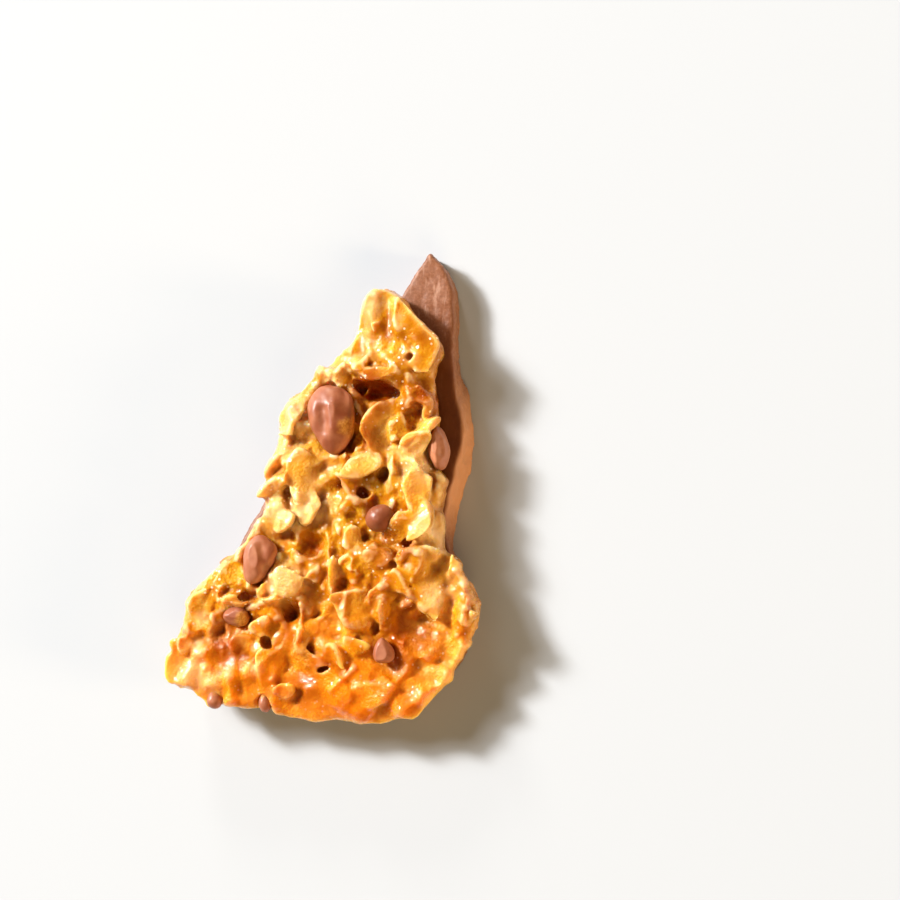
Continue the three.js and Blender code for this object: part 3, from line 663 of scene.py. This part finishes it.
def towards_ends(places, ends):
    """From 1 in the middle to these shares at the lower end and in the lobe."""
    y = (places[:, 1] - ORIGIN.y) / MM
    return np.interp(y, [LOWER_END_Y - 3, LOWER_END_Y + 3, SMOOTH_LOBE_Y - 3, SMOOTH_LOBE_Y + 2],
                     [ends[0], 1.0, 1.0, ends[1]])


def away_from(places, x, y):
    """How far each place is from here, seen from above."""
    return np.hypot(places[:, 0] - ORIGIN.x - x * MM, places[:, 1] - ORIGIN.y - y * MM)


def facets(places, normals):
    """Breaks the upper side into tilted facets and dished hollows, with webs between them."""
    rng = random.Random(FACET_SEED)
    noise.seed_set(FACET_SEED)
    low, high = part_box("florentine")
    cells = []
    for _ in range(FACET_TRIES):
        x, y = rng.uniform(low.x, high.x), rng.uniform(low.y, high.y)
        smooth = not LOWER_END_Y < (y - ORIGIN.y) / MM < SMOOTH_LOBE_Y
        size = rng.uniform(*(SMOOTH_FACET_SIZE if smooth else FACET_SIZE)) * MM
        if all(math.hypot(x - cx, y - cy) > (size + other) / 2 for cx, cy, other in cells):
            cells.append((x, y, size))
    tree = KDTree(len(cells))
    for index, (x, y, _) in enumerate(cells):
        tree.insert((x, y, 0), index)
    tree.balance()
    flat = [rng.random() < FACET_SHARE for _ in cells]
    level = [rng.uniform(*FACET_LEVEL) for _ in cells]
    dish = [rng.uniform(*DISH_DEPTH) for _ in cells]
    slope = [[rng.gauss(lean, FACET_SLOPE) for lean in FACET_LEAN] for _ in cells]

    def height(index, x, y):
        away_x, away_y = x - cells[index][0], y - cells[index][1]
        if flat[index]:
            return level[index] * MM + slope[index][0] * away_x + slope[index][1] * away_y
        spread = (away_x ** 2 + away_y ** 2) / cells[index][2] ** 2
        return (level[index] - dish[index] * math.exp(-3 * spread)) * MM

    rises = np.empty(len(places))
    for row, (x, y, z) in enumerate(places):
        stray = noise.noise_vector(Vector((x, y, z * 0.3)) / (FACET_BEND_SIZE * MM))
        bend = stray * (FACET_BEND * MM)
        (_, first, near), (_, second, far) = tree.find_n((x + bend.x, y + bend.y, 0), 2)
        gap = (far - near) / (WEB_WIDTH * MM)
        share = 0.5 * max(0.0, 1 - gap)
        rises[row] = (height(first, x, y) * (1 - share) + height(second, x, y) * share
                      + WEB_HEIGHT * MM * math.exp(-gap ** 2))
    uneven = 0.85 + 0.45 * ripple(places, 6.0, seed=12.0)
    strength = towards_ends(places, FACET_ENDS) * uneven
    places[:, 2] += rises * strength * np.clip(normals[:, 2] * 1.4, 0, 1)
    return places


def keep_in_box(places, node):
    low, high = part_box(node)
    for axis in range(3):
        np.clip(places[:, axis], low[axis], high[axis], out=places[:, axis])


def stand_for(piece, node):
    piece.data.shade_smooth()
    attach(piece, "root")
    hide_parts(node)


# Florentine

def almond_slice(length, width, thickness, cup, snaps, rng):
    """A thin pointed oval, cupped across its width, often with a corner snapped off."""
    shape = bmesh.new()
    bmesh.ops.create_grid(shape, x_segments=8, y_segments=5, size=1.0)
    phase = rng.uniform(0, math.tau)
    bend = rng.uniform(*SLICE_BEND) * MM
    for vert in shape.verts:
        along = vert.co.x * math.sqrt(1 - vert.co.y ** 2 / 2)
        across = vert.co.y * math.sqrt(1 - vert.co.x ** 2 / 2)
        uneven = 1 + SLICE_UNEVEN * math.sin(3 * math.atan2(across, along) + phase)
        taper = 1 - SLICE_TAPER * max(0.0, along)
        vert.co = (along * uneven * length / 2, across * uneven * taper * width / 2,
                   cup * across ** 2 / 2 + bend * along ** 2)
    for _ in range(rng.choice(snaps)):
        angle = rng.uniform(0, math.tau)
        reach = rng.uniform(*SNAP_REACH) / 2
        cut = Vector((math.cos(angle), math.sin(angle), 0))
        bmesh.ops.bisect_plane(shape, geom=[*shape.verts, *shape.edges, *shape.faces],
                               plane_co=Vector((cut.x * length, cut.y * width, 0)) * reach,
                               plane_no=cut, clear_outer=True)
    shape.normal_update()
    bmesh.ops.solidify(shape, geom=shape.faces[:], thickness=-thickness)
    return shape


def looked_down(surface, place):
    """Where the caramel is under this place, or None."""
    return surface.ray_cast(place + Vector((0, 0, ABOVE)) * MM, Vector((0, 0, -1)))[0]


def add_to_heap(heap, tones, shape, tone):
    """Adds a slice or sheet to the heap, and its tone once for each of its faces."""
    laid = bpy.data.meshes.new("laid")
    shape.to_mesh(laid)
    shape.free()
    heap.from_mesh(laid)
    tones.extend([tone] * len(laid.polygons))
    bpy.data.meshes.remove(laid)


def lay_slice(heap, tones, surface, row, thickness, snaps, rng):
    """Lays one slice on the caramel, if there is caramel under it."""
    x, y, length, width, turn, tip_up, side_up, lift, cup = row
    spot = looked_down(surface, placed(x, y))
    if spot is None:
        return
    shape = almond_slice(length * MM, width * MM, thickness * MM, cup * MM, snaps, rng)
    lean = (Matrix.Rotation(math.radians(turn), 4, "Z")
            @ Matrix.Rotation(math.radians(-tip_up), 4, "Y")
            @ Matrix.Rotation(math.radians(side_up * STEEPER), 4, "X"))
    drop = Vector((0, 0, lift + 0.1 - thickness / 2)) * MM
    shape.transform(Matrix.Translation(spot + drop) @ lean)
    add_to_heap(heap, tones, shape, rng.random())


def broken_sheet(heap, tones, surface, lift, corners):
    """Lays a thin straight-edged sheet on the caramel. Each corner takes the height further in."""
    middle = ORIGIN + sum((Vector((x, y, 0)) for x, y in corners), Vector()) / len(corners) * MM
    shape = bmesh.new()
    verts = []
    for x, y in corners:
        corner = placed(x, y)
        height = looked_down(surface, corner.lerp(middle, 0.35)).z
        verts.append(shape.verts.new((corner.x, corner.y, height + lift * MM)))
    shape.faces.new(verts)
    bmesh.ops.triangulate(shape, faces=shape.faces[:])
    shape.normal_update()
    bmesh.ops.solidify(shape, geom=shape.faces[:], thickness=SHEET_THICKNESS * MM)
    bmesh.ops.recalc_face_normals(shape, faces=shape.faces[:])
    add_to_heap(heap, tones, shape, SHEET_TONE)


def on_caramel(x, y, reach, surface):
    """How many of four points at this reach from the place are on the caramel."""
    spot = placed(x, y)
    ring = [Vector((math.cos(way), math.sin(way), 0)) * reach * MM for way in FOUR_WAYS]
    return sum(looked_down(surface, spot + step) is not None for step in ring)


def blocked(x, y, drop_boxes):
    """Whether a hollow or a drop is here."""
    for hollow_x, hollow_y, _, width, length, _, _ in HOLLOWS:
        across = (x - hollow_x) / (width / 2 + HOLLOW_CLEARANCE)
        along = (y - hollow_y) / (length / 2 + HOLLOW_CLEARANCE)
        if math.hypot(across, along) < 1:
            return True
    spot = placed(x, y)
    for low, high in drop_boxes:
        middle = (low + high) / 2
        across = (spot.x - middle.x) / ((high.x - low.x) / 2 + DROP_CLEARANCE * MM)
        along = (spot.y - middle.y) / ((high.y - low.y) / 2 + DROP_CLEARANCE * MM)
        if math.hypot(across, along) < 1:
            return True
    return False


def spread_places(count, spacing, rng, allowed):
    """Random places on the florentine, none nearer to another than the spacing."""
    low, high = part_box("florentine")
    drop_boxes = [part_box(f"chocolate_drop_{number}") for number in DROP_NUMBERS]
    places = []
    for _ in range(PLACE_TRIES):
        x = (rng.uniform(low.x, high.x) - ORIGIN.x) / MM
        y = (rng.uniform(low.y, high.y) - ORIGIN.y) / MM
        crowded = any(math.hypot(x - px, y - py) < spacing for px, py in places)
        if crowded or blocked(x, y, drop_boxes) or not allowed(x, y):
            continue
        places.append((x, y))
        if len(places) == count:
            break
    return places


def small_slices(surface):
    """The small slices and the chips along the rim, as rows of the same measures."""
    rng = random.Random(PLACE_SEED)

    def inner_place(x, y):
        named = LARGE_SLICES + THIN_SLICES
        if any(math.hypot(x - row[0], y - row[1]) < row[2] * SLICE_CLEARANCE for row in named):
            return False
        if not LOWER_END_Y < y < SMOOTH_LOBE_Y and rng.random() < ENDS_LEFT_OUT:
            return False
        return on_caramel(x, y, INNER_REACH, surface) == len(FOUR_WAYS)

    def rim_place(x, y):
        crumbling = x < RIGHT_RIM_X and LOWER_END_Y < y < SMOOTH_LOBE_Y
        return crumbling and 1 < on_caramel(x, y, RIM_REACH, surface) < len(FOUR_WAYS)

    small = []
    for x, y in spread_places(SMALL_SLICES, SMALL_SPACING, rng, inner_place):
        length = rng.uniform(*SMALL_LENGTH)
        width = length * rng.uniform(*SMALL_WIDTH)
        small.append((x, y, length, width, *[rng.uniform(*span) for span in SMALL_POSE]))
    chips = []
    for x, y in spread_places(EDGE_CHIPS, CHIP_SPACING, rng, rim_place):
        length = rng.uniform(*CHIP_LENGTH)
        width = length * rng.uniform(*CHIP_WIDTH)
        chips.append((x, y, length, width, *[rng.uniform(*span) for span in CHIP_POSE], CHIP_CUP))
    off_ledge = [row for row in chips if row[0] > 0 or not LEDGE_Y[0] < row[1] < LEDGE_Y[1]]
    return small, off_ledge


def hollow_out(piece):
    shape = bmesh.new()
    for x, y, z, across, along, deep, turn in HOLLOWS:
        ball = bmesh.ops.create_icosphere(shape, subdivisions=3, radius=0.5 * MM)["verts"]
        for vert in ball:
            lumps = noise.noise(vert.co / (HOLLOW_LUMP * MM) + Vector((x, y, z)))
            vert.co *= 1 + HOLLOW_UNEVEN * lumps
        size = Matrix.Diagonal((across, along, deep, 1))
        place = Matrix.Translation(placed(x, y, z))
        lean = Matrix.Rotation(math.radians(turn), 4, "Z")
        bmesh.ops.transform(shape, matrix=place @ lean @ size, verts=ball)
    cutter = new_piece("hollows", shape, piece.data.materials[0])
    cut = piece.modifiers.new("cut", "BOOLEAN")
    cut.operation = "DIFFERENCE"
    cut.solver = "MANIFOLD"
    cut.object = cutter
    apply_modifiers(piece)
    bpy.data.objects.remove(cutter)


def depth_behind(tree, places, normals, reach):
    """How far it is through the piece to its other side, at most reach."""
    depths = np.empty(len(places))
    for index, (place, normal) in enumerate(zip(places, normals)):
        inward = -Vector(normal)
        distance = tree.ray_cast(Vector(place) + inward * (0.05 * MM), inward, reach)[3]
        depths[index] = reach if distance is None else distance
    return depths


def closed_in(tree, places, normals):
    """How much of the view outwards is blocked by the piece itself, from 0 to 1."""
    steps = [(x, y, z) for x in (-1, 0, 1) for y in (-1, 0, 1) for z in (-1, 0, 1) if x or y or z]
    outlooks = [Vector(step).normalized() for step in steps]
    shares = np.empty(len(places))
    for index, (place, normal) in enumerate(zip(places, normals)):
        outward = Vector(normal)
        start = Vector(place) + outward * (0.12 * MM)
        open_ways = [way for way in outlooks if way.dot(outward) > 0.3]
        hits = sum(tree.ray_cast(start, way, OUTLOOK * MM)[0] is not None for way in open_ways)
        shares[index] = hits / len(open_ways)
    return shares


def pool_depth_and_painted_light(places):
    """From 0 where the caramel is scant and where highlights are painted, to 1 where it is deep and
    where shade is painted.
    """
    waver = 1 + 0.45 * ripple(places, 2.5, seed=7.0)
    depth = np.zeros(len(places))
    for x, y, radius, strength in POOLS_AND_PAINTED_LIGHT:
        away = away_from(places, x, y)
        depth += strength * np.exp(-(away * waver / (radius * MM)) ** 2)
    return np.clip(0.5 + depth / 2, 0, 1)


def slice_cover(places, edges, slices, tones):
    """Where a slice lies just under the caramel, from 0 to 1, and that slice's tone."""
    cover = np.zeros(len(places))
    tone = np.full(len(places), 0.5)
    for index, place in enumerate(places):
        _, _, face, distance = slices.find_nearest(Vector(place), SLICE_NEAR * MM)
        if face is not None:
            cover[index] = min(1.0, max(0.0, 1.35 - distance / (SLICE_FADE * MM)))
            tone[index] = tones[face]
    return neighbour_mean(cover, edges, 2), neighbour_mean(tone, edges, 2)


def caramel_mounds(material):
    """The solid's mounds broken into facets, and their surface as it was before that."""
    mounds = new_piece("mounds", merged_copy("florentine"), material)
    voxel_skin(mounds, MOUND_VOXEL)
    melt(mounds.data, MOUND_ROUNDS, MOUND_RIDGE_SHARE)
    shape = bmesh.new()
    shape.from_mesh(mounds.data)
    surface = BVHTree.FromBMesh(shape)
    shape.free()
    write_places(mounds.data, facets(read_places(mounds.data), read_normals(mounds.data)))
    return mounds, surface


def heap_of_slices(surface):
    """Every slice, chip and sheet as it lies on the caramel, and a tone for each face."""
    rng = random.Random(LAYING_SEED)
    heap = bmesh.new()
    tones = []
    for row in LARGE_SLICES:
        lay_slice(heap, tones, surface, row, LARGE_THICKNESS, LARGE_SNAPS, rng)
    small, chips = small_slices(surface)
    for row in THIN_SLICES + small:
        lay_slice(heap, tones, surface, row, rng.uniform(*SMALL_THICKNESS), SMALL_SNAPS, rng)
    for row in chips:
        lay_slice(heap, tones, surface, row, rng.uniform(*SMALL_THICKNESS), CHIP_SNAPS, rng)
    for lift, corners in BROKEN_SHEETS:
        broken_sheet(heap, tones, surface, lift, corners)
    return heap, tones


def fused(name, mounds, heap, material):
    """The mounds and the slices on them as one piece."""
    laid = bpy.data.meshes.new("laid_slices")
    heap.to_mesh(laid)
    shape = bmesh.new()
    shape.from_mesh(mounds.data)
    shape.from_mesh(laid)
    bpy.data.meshes.remove(laid)
    bpy.data.objects.remove(mounds)
    return new_piece(name, shape, material)


def crust_relief(mesh, slices, tones):
    """Folds, swells, leaves and grains of sugar, within the solid's box."""
    places = fold(read_places(mesh), read_normals(mesh), CARAMEL_FOLDS)
    write_places(mesh, places)
    cover, _ = slice_cover(places, read_edges(mesh), slices, tones)
    between = 1 - cover * (1 - LEAF_ON_SLICE)
    size, height, seed = SWELL
    places += read_normals(mesh) * (ripple(places, size, seed) * height * MM)[:, None]
    for size, height, seed in LEAF_LAYERS:
        steps = (leaves(places, size, seed) * towards_ends(places, LEAF_ENDS)
                 * between * height * MM)
        places += read_normals(mesh) * steps[:, None]
    write_places(mesh, places)
    sugar = np.clip(ripple(places, *SUGAR_PATCH) * 2.5 + 0.5, 0.25, 1.0)
    size, height, seed = GRAINS
    grains = ripple(places, size, seed) * sugar * between * height * MM
    places += read_normals(mesh) * grains[:, None]
    keep_in_box(places, "florentine")
    write_places(mesh, places)
    return places


def note_for_caramel(mesh, places, slices, tones):
    """Writes down where the crust is thin, shaded, steep, deep or bare."""
    edges = read_edges(mesh)
    normals = read_normals(mesh)
    local = neighbour_mean(places, edges, 8)
    ridge = ((places - local) * normals).sum(1) / MM
    tree = BVHTree.FromPolygons([Vector(p) for p in places],
                                [tuple(f.vertices) for f in mesh.polygons])
    reach = LIT_THROUGH * MM
    depth = neighbour_mean(depth_behind(tree, places, normals, reach), edges, 3)
    facing_up = neighbour_mean(normals[:, 2], edges, 30)
    low_end = np.clip((LOW_END_Y * MM - places[:, 1]) / (LOW_END_FADE * MM), 0, 1)
    wall = np.interp(facing_up, [0.1, 0.5], [1, 0]) * (1 - low_end)
    almond, tone = slice_cover(places, edges, slices, tones)
    notes = {"ridge": np.clip(0.5 + ridge * 1.6, 0, 1),
             "thin": np.clip(1 - depth / reach, 0, 1) ** 1.5,
             # how closed in each place is, which drives the painted shade in pits
             "pit": neighbour_mean(closed_in(tree, places, normals), edges, 3),
             "low_end": low_end, "wall": wall,
             # rims that face sideways get a painted glow
             "rim": np.clip((0.64 - facing_up) * 2.0, 0, 0.75) * (1 - wall),
             "pool": pool_depth_and_painted_light(places), "almond": almond, "tone": tone}
    for name, values in notes.items():
        write_attribute(mesh, name, values)


def florentine(material):
    mounds, surface = caramel_mounds(material)
    heap, tones = heap_of_slices(surface)
    slices = BVHTree.FromBMesh(heap)
    piece = fused("florentine_crust", mounds, heap, material)
    heap.free()
    voxel_skin(piece, FLORENTINE_VOXEL)
    hollow_out(piece)
    voxel_skin(piece, FLORENTINE_VOXEL)
    melt(piece.data, MELT_ROUNDS, RIDGE_SHARE)
    places = crust_relief(piece.data, slices, tones)
    note_for_caramel(piece.data, places, slices, tones)
    stand_for(piece, "florentine")


# Chocolate plate

def chocolate_plate(material):
    piece = new_piece("cast_chocolate_plate", merged_copy("chocolate_plate"), material)
    voxel_skin(piece, CHOCOLATE_VOXEL)
    mesh = piece.data
    melt(mesh, PLATE_ROUNDS, PLATE_RIDGE_SHARE)
    places = read_places(mesh)
    normals = read_normals(mesh)
    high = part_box("chocolate_plate")[1]
    broken = np.clip(1.4 * (1 - np.abs(normals[:, 2])), 0, 1)
    top = (normals[:, 2] > 0.7) & (places[:, 2] > high.z - TOP_DEPTH * MM)
    y = (places[:, 1] - ORIGIN.y) / MM
    # Lighter towards the tip; lower down the top stays darker, partly as painted shadow
    broken = np.where(top, np.interp(y, *ROUGH_TOP_AND_SHADE), broken)
    rough = np.zeros(len(places))
    for size, height, seed in (COARSE_BREAK, FINE_BREAK):
        rough += ripple(places, size, seed) * height * MM
    places = places + normals * (rough * broken)[:, None]
    facing_left = neighbour_mean(np.clip(-normals[:, 0], 0, 1), read_edges(mesh), 12)
    left_side = np.clip(facing_left * 3, 0, 1)
    ledge = np.interp(y, *LEDGE)
    places[:, 0] -= ledge * left_side * MM
    broken = np.maximum(broken, left_side * np.clip(ledge * 2, 0, 0.8))
    keep_in_box(places, "chocolate_plate")
    write_places(mesh, places)
    write_attribute(mesh, "broken", broken)
    write_attribute(mesh, "dusty", broken * np.where(top, 1.0, 0.3))
    # how much painted light falls on the right-facing break along the plate
    side = np.interp(y, *RIGHT_SIDE_LIGHT)
    write_attribute(mesh, "fresh", np.clip(normals[:, 0] * 1.6 - 0.4, 0, 1) * side)
    stand_for(piece, "chocolate_plate")


# Chocolate drops

def chocolate_drop(number, material):
    node = f"chocolate_drop_{number}"
    piece = new_piece(f"milk_drop_{number}", merged_copy(node), material)
    rounding = piece.modifiers.new("rounding", "SUBSURF")
    rounding.levels = DROP_LEVELS
    rounding.render_levels = DROP_LEVELS
    apply_modifiers(piece)
    mesh = piece.data
    places = read_places(mesh)
    dents = ripple(places, DENT_SIZE, seed=number * 3.1) * DENT_DEPTH * MM
    places += read_normals(mesh) * dents[:, None]
    places = fold(places, read_normals(mesh), DROP_FOLDS.get(number, []))
    keep_in_box(places, node)
    middle = places.mean(0)
    places[:, :2] = middle[:2] + (places[:, :2] - middle[:2]) * DROP_SPREAD.get(number, (1.0, 1.0))
    write_places(mesh, places)
    film = np.zeros(len(places))
    if number in CARAMEL_FILMS:
        x, y, radius = CARAMEL_FILMS[number]
        edge = ripple(places, 0.9, seed=3.0) * 0.5
        film = np.clip(1.6 - 1.4 * away_from(places, x, y) / (radius * MM) + edge, 0, 0.85)
    write_attribute(mesh, "glaze", film)
    # tone: drop 3 is darker as painted shade
    write_attribute(mesh, "tone", np.full(len(places), DROP_TONE_AND_SHADE[number]))
    stand_for(piece, node)


# Floor and light

def floor(material):
    shape = bmesh.new()
    bmesh.ops.create_grid(shape, x_segments=1, y_segments=1, size=FLOOR_REACH)
    new_piece("pale_floor", shape, material)


def area_light(name, place, size, power, colour, glossy=True):
    lamp = bpy.data.lights.new(name, "AREA")
    lamp.shape = "DISK"
    lamp.size = size
    lamp.energy = power
    lamp.color = linear(colour)[:3]
    light = bpy.data.objects.new(name, lamp)
    light.location = place
    light.rotation_euler = Vector(place).to_track_quat("Z", "Y").to_euler()
    light.visible_glossy = glossy
    bpy.context.scene.collection.objects.link(light)


def studio():
    world = bpy.data.worlds.new("studio")
    world.use_nodes = True
    background = world.node_tree.nodes["Background"]
    background.inputs["Color"].default_value = linear("#FFE8CC")
    background.inputs["Strength"].default_value = 0.09
    bpy.context.scene.world = world
    area_light("window", (-2.7, 1.6, 2.1), 0.55, 226.0, "#FFFEFB")
    area_light("bounce", (-2.7, 1.6, 2.4), 1.6, 172.0, "#FFFEFB", glossy=False)
    area_light("back", (-0.9, 3.4, 1.1), 0.7, 45.0, "#FFF8EA")
    area_light("front", (1.2, -3.0, 2.0), 2.0, 54.0, "#FFE0A8", glossy=False)
    area_light("right", (3.7, -0.8, 0.85), 0.9, 92.0, "#FFE0B4", glossy=False)
    bpy.context.scene.view_settings.view_transform = "Standard"


photo_camera()
florentine(caramel_material())
chocolate_plate(plate_material())
drop_finish = drop_material()
for drop_number in DROP_NUMBERS:
    chocolate_drop(drop_number, drop_finish)
floor(floor_material())
studio()
